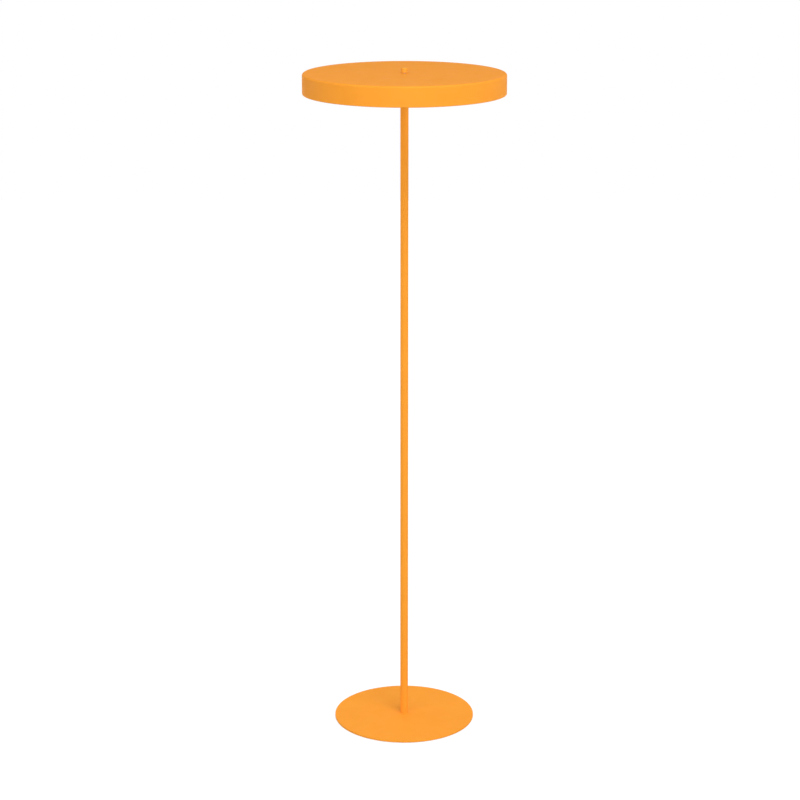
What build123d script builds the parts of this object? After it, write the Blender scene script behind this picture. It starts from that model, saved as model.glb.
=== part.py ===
from build123d import *
import math
import os

# A floor lamp: a shallow disc shade with a closed top, on a thin stem and a round plate.
# Lengths are in millimetres and angles in degrees. The origin is the centre of the base's
# underside, on the floor. +Z is up, -Y is the front, and the cable leaves at the back, +Y.

# Clearances
thread_clearance = 0.05
slip_clearance = 0.05
hole_clearance = 0.25
rubber_clearance = 0.1
bearing_clearance = 0.05
end_play = 0.1

# Base
base_diameter = 290.0
base_thickness = 4.0
base_edge_radius = 0.8
base_lower_chamfer = 0.4
pad_thickness = 1.0
pad_inset = 6.0
pad_hole_diameter = 30.0

# Foot of the stem
foot_screw_diameter = 6.0
foot_screw_length = 16.0
foot_screw_head_diameter = 11.3
foot_screw_key = 4.0
foot_screw_key_depth = 2.2
foot_plug_length = 20.0
foot_thread_spare = 2.0

# Stem
stem_diameter = 16.0
stem_wall = 1.5
stem_length = 1320.5

# Cable outlet at the back of the stem
outlet_height = 40.0
outlet_hole_diameter = 8.0
outlet_bore_diameter = 5.2
grommet_flange_diameter = 10.4
grommet_lip_diameter = 8.8
grommet_lip_depth = 2.3
grommet_stand = 1.5
grommet_edge_radius = 0.6

# Top of the stem
head_plug_length = 20.0
head_plug_wall = 1.4
nipple_wall = 1.25
nipple_engagement = 15.0
nipple_end = 0.5
flange_diameter = 60.0
flange_thickness = 4.0
flange_chamfer = 0.5
flange_screw_circle = 44.0
flange_screw_count = 4
flange_screw_diameter = 4.0
flange_screw_end_gap = 0.5
head_washer_diameter = 18.0
head_washer_thickness = 1.0
head_nut_flats = 14.0
head_nut_height = 3.0

# Shade
shade_diameter = 400.0
shade_height = 40.0
shade_wall = 1.0
shade_lip_width = 5.0
shade_edge_inner_radius = 3.0
shade_rim_inner_radius = 0.5

# Studs that hang the carrier from the shade
stud_count = 6
stud_first_angle = 30.0
stud_diameter = 4.0
stud_end = 1.0
spacer_diameter = 8.0
stud_washer_diameter = 9.0
stud_washer_thickness = 0.8
stud_nut_flats = 7.0
stud_nut_height = 3.2

# Carrier and its lights
carrier_gap = 9.0
carrier_thickness = 1.5
ring_count = 2
board_width = 16.0
board_thickness = 1.6
board_gap = 4.0
outer_board_count = 6
inner_board_count = 4
outer_chip_count = 12
inner_chip_count = 10
outer_screw_chip_count = 4
inner_screw_chip_count = 3
chip_length = 3.5
chip_width = 2.8
chip_height = 0.7
link_board_width = 12.0
link_board_gap = 2.0
link_screw_offset = 15.0
connector_length = 9.0
connector_width = 5.0
connector_height = 2.2
board_screw_diameter = 3.0
board_screw_end_gap = 0.2

# Lead from the driver to the lights
lead_diameter = 2.0
lead_terminal_width = 8.0
lead_terminal_height = 5.0
lead_hole_diameter = 8.0
lead_grommet_bore_diameter = 2.4
lead_grommet_flange_diameter = 11.0
lead_grommet_flange_thickness = 1.0

# Diffuser and the collar that closes it round the stem
diffuser_thickness = 2.0
diffuser_rim_play = 0.1
diffuser_hole_gap = 0.5
collar_diameter = 28.0
collar_height = 8.0
collar_edge_radius = 0.6
collar_screw_diameter = 4.0
collar_screw_length = 5.0
collar_screw_key = 2.0

# Driver
driver_length = 120.0
driver_width = 40.0
driver_height = 14.0
driver_headroom = 4.0
driver_offset = 30.0
driver_wall = 1.5
driver_ear_length = 8.0
driver_ear_width = 14.0
driver_ear_thickness = 3.0
driver_screw_diameter = 3.0
driver_boss_diameter = 5.0
driver_boss_height = 1.5
driver_post_inset = 6.5
driver_post_gap = 0.5
driver_board_gap = 1.5
driver_board_thickness = 1.6
driver_terminal_size = 8.0
driver_terminal_inset = 6.0
driver_terminal_cover = 2.5
driver_part_headroom = 0.9
driver_lid_rim_depth = 2.0
driver_lid_rim_thickness = 1.0
driver_lid_clearance = 0.1
transformer_length = 18.0
transformer_width = 15.0
capacitor_diameter = 6.8
capacitor_length = 18.0
capacitor_count = 2
capacitor_pitch = 8.0
capacitor_first_offset = 16.0

# Dimmer under the middle of the shade's top
dimmer_body_width = 12.0
dimmer_body_height = 5.5
dimmer_floor = 1.0
dimmer_cover_thickness = 1.0
dimmer_cover_gap = 0.6
dimmer_bush_diameter = 7.0
dimmer_bush_gap = 0.3
dimmer_press_travel = 0.5
dimmer_rotor_diameter = 10.3
dimmer_rotor_height = 2.6
dimmer_ledge_width = 1.2
dome_diameter = 7.0
dome_height = 0.8
dome_thickness = 0.15
dimmer_board_length = 30.0
dimmer_board_width = 24.0
dimmer_board_thickness = 1.6
dimmer_hole_inset = 2.75
dimmer_screw_diameter = 2.5
dimmer_screw_length = 5.0
standoff_flats = 5.0
standoff_stud_gap = 0.2
pin_diameter = 0.8
pin_pitch = 2.5
pin_row_inset = 1.0
pin_end = 1.0
pin_hole_gap = 0.1
dimmer_plug_length = 6.0
dimmer_plug_width = 6.0
dimmer_plug_height = 4.0
dimmer_plug_inset = 1.0
dimmer_lead_reach = 13.0

# Shaft and knob of the dimmer
shaft_diameter = 6.0
shaft_flat_depth = 1.5
tang_width = 4.0
shaft_foot_diameter = 5.8
shaft_foot_height = 0.9
knob_diameter = 12.5
knob_height = 9.1
knob_gap = 0.9
knob_bore_depth = 7.2
knob_edge_radius = 0.6
knob_lower_edge_radius = 0.3
knob_screw_diameter = 3.0
knob_screw_length = 4.0
knob_screw_height = 3.6
knob_screw_key = 1.5

# Shapes of the screws' heads, as shares of the screw's own diameter
button_head_share = 1.9
button_height_share = 0.55
button_key_share = 0.6
button_round_share = 0.4
grub_key_depth_share = 0.5

# Heights above the floor
base_top = pad_thickness + base_thickness
stem_top = base_top + stem_length
flange_top = stem_top + flange_thickness
carrier_top = flange_top + carrier_thickness
spacer_length = driver_height + driver_headroom
shade_underside = carrier_top + spacer_length
shade_top = shade_underside + shade_wall
shade_bottom = shade_top - shade_height
diffuser_bottom = shade_bottom + shade_wall
diffuser_top = diffuser_bottom + diffuser_thickness
board_bottom = flange_top - board_thickness
nut_bottom = carrier_top + head_washer_thickness
nut_top = nut_bottom + head_nut_height

# Radii about the lamp's axis
base_radius = base_diameter / 2
stem_radius = stem_diameter / 2
stem_bore_radius = stem_radius - stem_wall
nipple_radius = stem_bore_radius - slip_clearance - head_plug_wall - thread_clearance
shade_radius = shade_diameter / 2
shade_inner_radius = shade_radius - shade_wall
diffuser_radius = shade_inner_radius - shade_rim_inner_radius - diffuser_rim_play
carrier_radius = shade_inner_radius - carrier_gap

# Each ring of lights runs along the middle of its equal share of the carrier's area.
inner_ring_radius = carrier_radius * math.sqrt(1 / (2 * ring_count))
outer_ring_radius = carrier_radius * math.sqrt((2 * ring_count - 1) / (2 * ring_count))
stud_circle_radius = (inner_ring_radius + outer_ring_radius) / 2
link_length = outer_ring_radius - inner_ring_radius - board_width - 2 * link_board_gap
outer_board_angle = 360 / outer_board_count
inner_board_angle = 360 / inner_board_count
outer_chip_pitch = outer_board_angle / (outer_chip_count + 1)
inner_chip_pitch = inner_board_angle / (inner_chip_count + 1)

# Heights and places in the dimmer
dimmer_cover_top = shade_underside - dimmer_cover_gap
dimmer_body_top = dimmer_cover_top - dimmer_cover_thickness
dimmer_body_bottom = dimmer_body_top - dimmer_body_height
dimmer_board_bottom = dimmer_body_bottom - dimmer_board_thickness
dimmer_pocket_bottom = dimmer_body_bottom + dimmer_floor
rotor_top = dimmer_body_top - end_play
rotor_bottom = rotor_top - dimmer_rotor_height
dimmer_ledge_top = rotor_bottom - end_play
dimmer_chamber_radius = dimmer_rotor_diameter / 2 + bearing_clearance
dimmer_pocket_radius = dimmer_chamber_radius - dimmer_ledge_width
shaft_foot_top = rotor_bottom - slip_clearance
shaft_foot_bottom = shaft_foot_top - shaft_foot_height
shaft_shoulder = rotor_top + dimmer_press_travel + end_play
knob_bottom = shade_top + knob_gap
shaft_top = knob_bottom + knob_bore_depth
dimmer_hole_x = dimmer_board_length / 2 - dimmer_hole_inset
dimmer_hole_y = dimmer_board_width / 2 - dimmer_hole_inset
dimmer_plug_end = dimmer_board_length / 2 - dimmer_plug_inset
dimmer_lead_z = dimmer_board_bottom - dimmer_plug_height / 2
dimmer_lead_x = dimmer_board_length / 2 + dimmer_lead_reach

# Heights and places in the driver
driver_x = driver_length / 2 - driver_ear_length
driver_screw_x = driver_length / 2 - driver_ear_length / 2
driver_near = driver_offset
driver_far = driver_offset + driver_width
driver_middle = (driver_near + driver_far) / 2
driver_lid_bottom = carrier_top + driver_height - driver_wall
driver_board_bottom = carrier_top + driver_wall + driver_boss_height
driver_board_top = driver_board_bottom + driver_board_thickness
driver_terminal_top = dimmer_lead_z + driver_terminal_cover
driver_post_x = driver_x - driver_post_inset
driver_terminal_reach = driver_terminal_inset + driver_terminal_size / 2
driver_post_y = driver_width / 2 - driver_terminal_reach - driver_boss_diameter / 2 - driver_post_gap
output_y = driver_near + driver_terminal_inset
input_y = driver_far - driver_terminal_inset
lead_low_z = board_bottom - lead_terminal_height / 2

STANDING = (Align.CENTER, Align.CENTER, Align.MIN)


def cylinder(radius, bottom, top):
    """An upright cylinder on the lamp's axis."""
    return Pos(0, 0, bottom) * Cylinder(radius, top - bottom, align=STANDING)


def ring(outer_radius, inner_radius, bottom, top):
    """An upright ring or tube on the lamp's axis."""
    return cylinder(outer_radius, bottom, top) - cylinder(inner_radius, bottom, top)


def hexagon(across_flats, bottom, top):
    """An upright hexagonal bar on the lamp's axis."""
    outline = RegularPolygon(across_flats / 2, 6, major_radius=False)
    return Pos(0, 0, bottom) * extrude(outline, top - bottom)


def block(low, high):
    """A box between its lowest and its highest corner."""
    size = [b - a for a, b in zip(low, high)]
    return Pos(*low) * Box(*size, align=(Align.MIN, Align.MIN, Align.MIN))


def around(piece, radius, angles):
    """Copies of a piece, moved out along X and turned about the lamp's axis."""
    return [Rot(0, 0, angle) * Pos(radius, 0, 0) * piece for angle in angles]


def backwards(piece, start, height):
    """Lays an upright piece on its side, so that it starts at y and points to the back."""
    return Pos(0, start, height) * Rot(-90, 0, 0) * piece


def circle_edges(solid):
    """The round edges of a turned piece, lowest first."""
    return solid.edges().filter_by(GeomType.CIRCLE).sort_by(Axis.Z)


def group(pieces):
    """Equal or related pieces that share one node as separate solids."""
    return Compound(children=list(pieces))


def button_screw(diameter, length):
    """A screw with a low round head that seats at height 0, its shank pointing down."""
    head_height = diameter * button_height_share
    head = cylinder(diameter * button_head_share / 2, 0, head_height)
    head = fillet(circle_edges(head)[-1], head_height * button_round_share)
    shank = cylinder(diameter / 2, -length, 0)
    socket = hexagon(diameter * button_key_share, head_height / 2, head_height)
    return head + shank - socket


def grub_screw(diameter, length, key):
    """A headless screw that stands on its point, with its key hole at the top."""
    depth = length * grub_key_depth_share
    return cylinder(diameter / 2, 0, length) - hexagon(key, length - depth, length)


def lead(points):
    """A round lead of straight runs joined by arcs of 0.45 of the shorter run."""
    radii = []
    for before, corner, after in zip(points, points[1:], points[2:]):
        first = Vector(*corner) - Vector(*before)
        second = Vector(*after) - Vector(*corner)
        half_turn = math.radians(first.get_angle(second)) / 2
        radii.append(0.45 * min(first.length, second.length) / math.tan(half_turn))
    path = FilletPolyline(*points, radius=radii)
    section = Plane(origin=path @ 0, z_dir=path % 0) * Circle(lead_diameter / 2)
    solid = sweep(section, path=path)
    expected = math.pi * (lead_diameter / 2) ** 2 * path.length
    print("lead radii", [round(r, 1) for r in radii], "length", round(path.length, 1))
    print("lead volume over section times length", round(solid.volume / expected, 4))
    return solid


def board_angles(count, first=0.0):
    """The middle angle of each board of a ring, or with first, of each gap beside it."""
    return [first + 360 / count * k for k in range(count)]


def arc_board(radius, angle, screw_angles):
    """One curved circuit board with its middle on +X, and its screw holes."""
    half = angle / 2 - math.degrees(board_gap / 2 / radius)
    middle = (board_bottom + flange_top) / 2
    outline = Plane.XZ * Pos(radius, middle) * Rectangle(board_width, board_thickness)
    board = Rot(0, 0, -half) * revolve(outline, Axis.Z, 2 * half)
    hole_radius = board_screw_diameter / 2 + hole_clearance
    hole = cylinder(hole_radius, board_bottom, flange_top)
    return board - around(hole, radius, screw_angles)


outer_screw_angles = [s * outer_screw_chip_count * outer_chip_pitch for s in (-1, 1)]
inner_screw_angles = [s * inner_screw_chip_count * inner_chip_pitch for s in (-1, 1)]


def board_screw_places(piece):
    """Copies of a piece at every screw of the two rings and of the link board."""
    places = []
    for angle in board_angles(outer_board_count):
        places += around(piece, outer_ring_radius, [angle + a for a in outer_screw_angles])
    for angle in board_angles(inner_board_count):
        places += around(piece, inner_ring_radius, [angle + a for a in inner_screw_angles])
    for side in (-1, 1):
        places += around(piece, stud_circle_radius + side * link_screw_offset, [0])
    return places


def stud_places(piece):
    """Copies of a piece at every stud."""
    return around(piece, stud_circle_radius, board_angles(stud_count, stud_first_angle))


def flange_screw_places(piece):
    """Copies of a piece at every screw of the stem's flange."""
    return around(piece, flange_screw_circle / 2, board_angles(flange_screw_count))


def driver_screw_places(piece):
    """Copies of a piece at the driver's two ears."""
    return [Pos(side * driver_screw_x, driver_middle, 0) * piece for side in (-1, 1)]


def dimmer_corner_places(piece):
    """Copies of a piece at the dimmer board's four corners."""
    corners = [(x, y) for x in (-dimmer_hole_x, dimmer_hole_x) for y in (-dimmer_hole_y, dimmer_hole_y)]
    return [Pos(x, y, 0) * piece for x, y in corners]


def lead_hole_place(piece):
    """Moves a piece to the hole where the lead goes down through the carrier."""
    return Pos(stud_circle_radius, output_y, 0) * piece


# Base


def base_plate():
    plate = cylinder(base_radius, pad_thickness, base_top)
    plate = fillet(circle_edges(plate)[-1], base_edge_radius)
    plate = chamfer(circle_edges(plate)[0], base_lower_chamfer)
    hole_radius = foot_screw_diameter / 2 + hole_clearance
    sink_radius = foot_screw_head_diameter / 2 + slip_clearance
    sink = Cone(sink_radius, hole_radius, sink_radius - hole_radius, align=STANDING)
    plate -= cylinder(hole_radius, pad_thickness, base_top)
    return plate - Pos(0, 0, pad_thickness) * sink


def base_pad():
    return ring(base_radius - pad_inset, pad_hole_diameter / 2, 0, pad_thickness)


def base_screw():
    head_radius = foot_screw_head_diameter / 2
    shank_radius = foot_screw_diameter / 2
    head = Cone(head_radius, shank_radius, head_radius - shank_radius, align=STANDING)
    screw = head + cylinder(shank_radius, 0, foot_screw_length)
    screw -= hexagon(foot_screw_key, 0, foot_screw_key_depth)
    return Pos(0, 0, pad_thickness) * screw


# Stem


def stem_tube():
    tube = ring(stem_radius, stem_bore_radius, base_top, stem_top)
    hole = cylinder(outlet_hole_diameter / 2, 0, stem_diameter)
    return tube - backwards(hole, 0, outlet_height)


def stem_foot_plug():
    plug_top = base_top + foot_plug_length
    plug = cylinder(stem_bore_radius - slip_clearance, base_top, plug_top)
    thread_top = pad_thickness + foot_screw_length + foot_thread_spare
    return plug - cylinder(foot_screw_diameter / 2 + thread_clearance, base_top, thread_top)


def cable_grommet():
    inner_end = stem_bore_radius - grommet_lip_depth
    outer_end = stem_radius + grommet_stand
    low = outlet_height - grommet_flange_diameter
    high = outlet_height + grommet_flange_diameter
    flange = cylinder(grommet_flange_diameter / 2, 0, outer_end)
    flange = fillet(circle_edges(flange)[-1], grommet_edge_radius)
    flange = backwards(flange, 0, outlet_height)
    flange -= cylinder(stem_radius + slip_clearance, low, high)
    lip = cylinder(grommet_lip_diameter / 2, 0, grommet_lip_depth)
    lip = backwards(lip, inner_end, outlet_height)
    lip &= cylinder(stem_bore_radius - slip_clearance, low, high)
    neck = cylinder(outlet_hole_diameter / 2 - rubber_clearance, 0, outer_end - inner_end)
    neck = backwards(neck, inner_end, outlet_height)
    bore = cylinder(outlet_bore_diameter / 2, 0, outer_end)
    return flange + neck + lip - backwards(bore, 0, outlet_height)


def stem_head_plug():
    outer = stem_bore_radius - slip_clearance
    return ring(outer, nipple_radius + thread_clearance, stem_top - head_plug_length, stem_top)


def stem_nipple():
    bottom = stem_top - nipple_engagement
    return ring(nipple_radius, nipple_radius - nipple_wall, bottom, nut_top + nipple_end)


def stem_flange():
    flange = ring(flange_diameter / 2, nipple_radius + slip_clearance, stem_top, flange_top)
    flange = chamfer(circle_edges(flange).sort_by(SortBy.RADIUS)[-1], flange_chamfer)
    hole = cylinder(flange_screw_diameter / 2 + thread_clearance, stem_top, flange_top)
    return flange - flange_screw_places(hole)


def flange_screws():
    length = carrier_thickness + flange_thickness - flange_screw_end_gap
    screw = Pos(0, 0, carrier_top) * button_screw(flange_screw_diameter, length)
    return group(flange_screw_places(screw))


def head_washer():
    outer = head_washer_diameter / 2
    return ring(outer, nipple_radius + slip_clearance, carrier_top, nut_bottom)


def head_nut():
    nut = hexagon(head_nut_flats, nut_bottom, nut_top)
    return nut - cylinder(nipple_radius + thread_clearance, nut_bottom, nut_top)


# Shade


def shade():
    outside = cylinder(shade_radius, shade_bottom, shade_top)
    outside = fillet(circle_edges(outside)[-1], shade_edge_inner_radius + shade_wall)
    outside = fillet(circle_edges(outside)[0], shade_rim_inner_radius + shade_wall)
    inside = cylinder(shade_inner_radius, diffuser_bottom, shade_underside)
    inside = fillet(circle_edges(inside)[-1], shade_edge_inner_radius)
    inside = fillet(circle_edges(inside)[0], shade_rim_inner_radius)
    mouth = cylinder(shade_radius - shade_lip_width, shade_bottom, diffuser_bottom)
    hole = cylinder(dimmer_bush_diameter / 2 + dimmer_bush_gap, shade_underside, shade_top)
    return outside - inside - mouth - hole


def shade_studs():
    bottom = flange_top - stud_washer_thickness - stud_nut_height - stud_end
    return group(stud_places(cylinder(stud_diameter / 2, bottom, shade_underside)))


def stud_spacers():
    bore = stud_diameter / 2 + hole_clearance
    return group(stud_places(ring(spacer_diameter / 2, bore, carrier_top, shade_underside)))


def stud_washers():
    bore = stud_diameter / 2 + hole_clearance
    bottom = flange_top - stud_washer_thickness
    return group(stud_places(ring(stud_washer_diameter / 2, bore, bottom, flange_top)))


def stud_nuts():
    top = flange_top - stud_washer_thickness
    nut = hexagon(stud_nut_flats, top - stud_nut_height, top)
    nut -= cylinder(stud_diameter / 2 + thread_clearance, top - stud_nut_height, top)
    return group(stud_places(nut))


# Lights


def led_carrier():
    plate = ring(carrier_radius, nipple_radius + slip_clearance, flange_top, carrier_top)

    def hole(radius):
        return cylinder(radius, flange_top, carrier_top)

    cuts = flange_screw_places(hole(flange_screw_diameter / 2 + hole_clearance))
    cuts += stud_places(hole(stud_diameter / 2 + hole_clearance))
    cuts += board_screw_places(hole(board_screw_diameter / 2 + thread_clearance))
    cuts += driver_screw_places(hole(driver_screw_diameter / 2 + thread_clearance))
    cuts += dimmer_corner_places(hole(dimmer_screw_diameter / 2 + thread_clearance))
    cuts += [lead_hole_place(hole(lead_hole_diameter / 2))]
    return plate - cuts


def led_boards_outer():
    board = arc_board(outer_ring_radius, outer_board_angle, outer_screw_angles)
    return group(around(board, 0, board_angles(outer_board_count)))


def led_boards_inner():
    board = arc_board(inner_ring_radius, inner_board_angle, inner_screw_angles)
    return group(around(board, 0, board_angles(inner_board_count)))


def led_link_board():
    half = link_length / 2
    low = (stud_circle_radius - half, -link_board_width / 2, board_bottom)
    high = (stud_circle_radius + half, link_board_width / 2, flange_top)
    hole_radius = board_screw_diameter / 2 + hole_clearance
    hole = cylinder(hole_radius, board_bottom, flange_top)
    board = block(low, high)
    for side in (-1, 1):
        board -= Pos(stud_circle_radius + side * link_screw_offset, 0, 0) * hole
    return board


def chips_of_ring(radius, board_count, chips_per_board, pitch):
    """The light chips on the underside of one ring of boards."""
    low = (-chip_width / 2, -chip_length / 2, board_bottom - chip_height)
    high = (chip_width / 2, chip_length / 2, board_bottom)
    steps = [k - (chips_per_board - 1) / 2 for k in range(chips_per_board)]
    angles = [middle + s * pitch for middle in board_angles(board_count) for s in steps]
    return around(block(low, high), radius, angles)


def led_chips():
    outer = chips_of_ring(
        outer_ring_radius, outer_board_count, outer_chip_count, outer_chip_pitch
    )
    inner = chips_of_ring(
        inner_ring_radius, inner_board_count, inner_chip_count, inner_chip_pitch
    )
    return group(outer + inner)


def board_connectors():
    top = board_bottom
    bottom = board_bottom - connector_height
    half_length = connector_length / 2
    half_width = connector_width / 2
    across = block((-half_width, -half_length, bottom), (half_width, half_length, top))
    along = block((-half_length, -half_width, bottom), (half_length, half_width, top))
    outer_gaps = board_angles(outer_board_count, outer_board_angle / 2)
    inner_gaps = board_angles(inner_board_count, inner_board_angle / 2)
    pieces = around(across, outer_ring_radius, outer_gaps)
    pieces += around(across, inner_ring_radius, inner_gaps)
    joint = (link_length + link_board_gap) / 2
    for side in (-1, 1):
        pieces += around(along, stud_circle_radius + side * joint, [0])
    return group(pieces)


def board_screws():
    length = board_thickness + carrier_thickness - board_screw_end_gap
    screw = Rot(180, 0, 0) * button_screw(board_screw_diameter, length)
    return group(board_screw_places(Pos(0, 0, board_bottom) * screw))


def lead_terminal():
    half = lead_terminal_width / 2
    low = (stud_circle_radius - half, -half, board_bottom - lead_terminal_height)
    high = (stud_circle_radius + half, half, board_bottom)
    return block(low, high)


def lead_grommet():
    bore = lead_grommet_bore_diameter / 2
    flange_radius = lead_grommet_flange_diameter / 2
    neck_radius = lead_hole_diameter / 2 - rubber_clearance
    lower = flange_top - lead_grommet_flange_thickness
    upper = carrier_top + lead_grommet_flange_thickness
    grommet = cylinder(neck_radius, lower, upper)
    grommet += cylinder(flange_radius, lower, flange_top)
    grommet += cylinder(flange_radius, carrier_top, upper)
    return lead_hole_place(grommet - cylinder(bore, lower, upper))


def led_lead():
    route = [
        (driver_x, output_y, dimmer_lead_z),
        (stud_circle_radius, output_y, dimmer_lead_z),
        (stud_circle_radius, output_y, lead_low_z),
        (stud_circle_radius, lead_terminal_width / 2, lead_low_z),
    ]
    return lead(route)


# Diffuser


def diffuser():
    return ring(diffuser_radius, stem_radius + diffuser_hole_gap, diffuser_bottom, diffuser_top)


def collar_screw_height():
    return diffuser_bottom - collar_height / 2


def diffuser_collar():
    bottom = diffuser_bottom - collar_height
    collar = cylinder(collar_diameter / 2, bottom, diffuser_bottom)
    collar = fillet(circle_edges(collar)[0], collar_edge_radius)
    collar -= cylinder(stem_radius + slip_clearance, bottom, diffuser_bottom)
    thread = cylinder(collar_screw_diameter / 2 + thread_clearance, 0, collar_diameter / 2)
    return collar - backwards(thread, 0, collar_screw_height())


def collar_screw():
    screw = grub_screw(collar_screw_diameter, collar_screw_length, collar_screw_key)
    return backwards(screw, stem_radius + slip_clearance, collar_screw_height())


# Driver


def driver_terminal_boxes(gap=0.0):
    """The driver's three terminals: mains in, lights out, and dimmer, each grown by gap."""
    half = driver_terminal_size / 2 + gap
    depth = driver_terminal_size
    bottom = driver_board_top - gap
    top = driver_terminal_top + gap
    mains = block((-driver_x, input_y - half, bottom), (-driver_x + depth, input_y + half, top))
    lights = block((driver_x - depth, output_y - half, bottom), (driver_x, output_y + half, top))
    dimmer = block(
        (dimmer_lead_x - half, driver_near, bottom),
        (dimmer_lead_x + half, driver_near + depth, top),
    )
    return [mains, lights, dimmer]


def driver_post_places(piece):
    """Copies of a piece at the four supports of the driver's board."""
    corners = [(x, y) for x in (-driver_post_x, driver_post_x) for y in (-driver_post_y, driver_post_y)]
    return [Pos(x, driver_middle + y, 0) * piece for x, y in corners]


def driver_case():
    floor_top = carrier_top + driver_wall
    inner_x = driver_x - driver_wall
    case = block((-driver_x, driver_near, carrier_top), (driver_x, driver_far, driver_lid_bottom))
    case -= block(
        (-inner_x, driver_near + driver_wall, floor_top),
        (inner_x, driver_far - driver_wall, driver_lid_bottom),
    )
    half_ear = driver_ear_width / 2
    ear_top = carrier_top + driver_ear_thickness
    for side in (-1, 1):
        inner, outer = sorted((side * driver_x, side * driver_length / 2))
        case += block(
            (inner, driver_middle - half_ear, carrier_top),
            (outer, driver_middle + half_ear, ear_top),
        )
    boss = cylinder(driver_boss_diameter / 2, floor_top, driver_board_bottom)
    for support in driver_post_places(boss):
        case += support
    hole = cylinder(driver_screw_diameter / 2 + hole_clearance, carrier_top, ear_top)
    return case - driver_screw_places(hole) - driver_terminal_boxes(slip_clearance)


def driver_lid():
    top = carrier_top + driver_height
    lid = block((-driver_x, driver_near, driver_lid_bottom), (driver_x, driver_far, top))
    outer_gap = driver_wall + driver_lid_clearance
    inner_gap = outer_gap + driver_lid_rim_thickness
    low = driver_lid_bottom - driver_lid_rim_depth

    def inset(gap):
        return block(
            (-driver_x + gap, driver_near + gap, low),
            (driver_x - gap, driver_far - gap, driver_lid_bottom),
        )

    lid += inset(outer_gap) - inset(inner_gap)
    post_bottom = driver_board_top + driver_lid_clearance
    post = cylinder(driver_boss_diameter / 2, post_bottom, driver_lid_bottom)
    for support in driver_post_places(post):
        lid += support
    return lid


def driver_board():
    gap = driver_wall + driver_board_gap
    return block(
        (-driver_x + gap, driver_near + gap, driver_board_bottom),
        (driver_x - gap, driver_far - gap, driver_board_top),
    )


def driver_transformer():
    half_length = transformer_length / 2
    half_width = transformer_width / 2
    top = driver_lid_bottom - driver_part_headroom
    return block(
        (-half_length, driver_middle - half_width, driver_board_top),
        (half_length, driver_middle + half_width, top),
    )


def driver_capacitors():
    can = cylinder(capacitor_diameter / 2, -capacitor_length / 2, capacitor_length / 2)
    z = driver_board_top + capacitor_diameter / 2
    pieces = []
    for k in range(capacitor_count):
        x = -capacitor_first_offset - k * capacitor_pitch
        pieces.append(Pos(x, driver_middle, z) * Rot(-90, 0, 0) * can)
    return group(pieces)


def driver_terminals():
    return group(driver_terminal_boxes())


def driver_screws():
    length = driver_ear_thickness + carrier_thickness - board_screw_end_gap
    screw = button_screw(driver_screw_diameter, length)
    seat = carrier_top + driver_ear_thickness
    return group(driver_screw_places(Pos(0, 0, seat) * screw))


# Dimmer


def dimmer_standoffs():
    standoff = hexagon(standoff_flats, carrier_top, dimmer_board_bottom)
    stud_bottom = flange_top + standoff_stud_gap
    standoff += cylinder(dimmer_screw_diameter / 2, stud_bottom, carrier_top)
    thread_bottom = dimmer_board_bottom - dimmer_screw_length + dimmer_board_thickness - end_play
    thread_radius = dimmer_screw_diameter / 2 + thread_clearance
    standoff -= cylinder(thread_radius, thread_bottom, dimmer_board_bottom)
    return group(dimmer_corner_places(standoff))


def pin_places(piece):
    """Copies of a piece at the dimmer's five pins, three in front and two behind."""
    y = dimmer_body_width / 2 - pin_row_inset
    front = [Pos(k * pin_pitch, -y, 0) * piece for k in (-1, 0, 1)]
    back = [Pos(k * pin_pitch, y, 0) * piece for k in (-1, 1)]
    return front + back


def dimmer_board():
    half_length = dimmer_board_length / 2
    half_width = dimmer_board_width / 2
    board = block(
        (-half_length, -half_width, dimmer_board_bottom),
        (half_length, half_width, dimmer_body_bottom),
    )
    screw_hole = dimmer_screw_diameter / 2 + hole_clearance
    cuts = dimmer_corner_places(cylinder(screw_hole, dimmer_board_bottom, dimmer_body_bottom))
    pin_hole = pin_diameter / 2 + pin_hole_gap
    cuts += pin_places(cylinder(pin_hole, dimmer_board_bottom, dimmer_body_bottom))
    return board - cuts


def dimmer_screws():
    screw = button_screw(dimmer_screw_diameter, dimmer_screw_length)
    return group(dimmer_corner_places(Pos(0, 0, dimmer_body_bottom) * screw))


def dimmer_housing():
    half = dimmer_body_width / 2
    body = block((-half, -half, dimmer_body_bottom), (half, half, dimmer_body_top))
    body -= cylinder(dimmer_pocket_radius, dimmer_pocket_bottom, dimmer_body_top)
    return body - cylinder(dimmer_chamber_radius, dimmer_ledge_top, dimmer_body_top)


def dimmer_cover():
    half = dimmer_body_width / 2
    cover = block((-half, -half, dimmer_body_top), (half, half, dimmer_cover_top))
    cover += cylinder(dimmer_bush_diameter / 2, dimmer_cover_top, shade_top)
    return cover - cylinder(shaft_diameter / 2 + bearing_clearance, dimmer_body_top, shade_top)


def dimmer_pins():
    pin = cylinder(pin_diameter / 2, dimmer_board_bottom - pin_end, dimmer_body_bottom)
    return group(pin_places(pin))


def dimmer_plug():
    half = dimmer_plug_width / 2
    low = (dimmer_plug_end - dimmer_plug_length, -half, dimmer_board_bottom - dimmer_plug_height)
    return block(low, (dimmer_plug_end, half, dimmer_board_bottom))


def dimmer_lead():
    route = [
        (dimmer_plug_end, 0, dimmer_lead_z),
        (dimmer_lead_x, 0, dimmer_lead_z),
        (dimmer_lead_x, driver_near, dimmer_lead_z),
    ]
    return lead(route)


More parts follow.
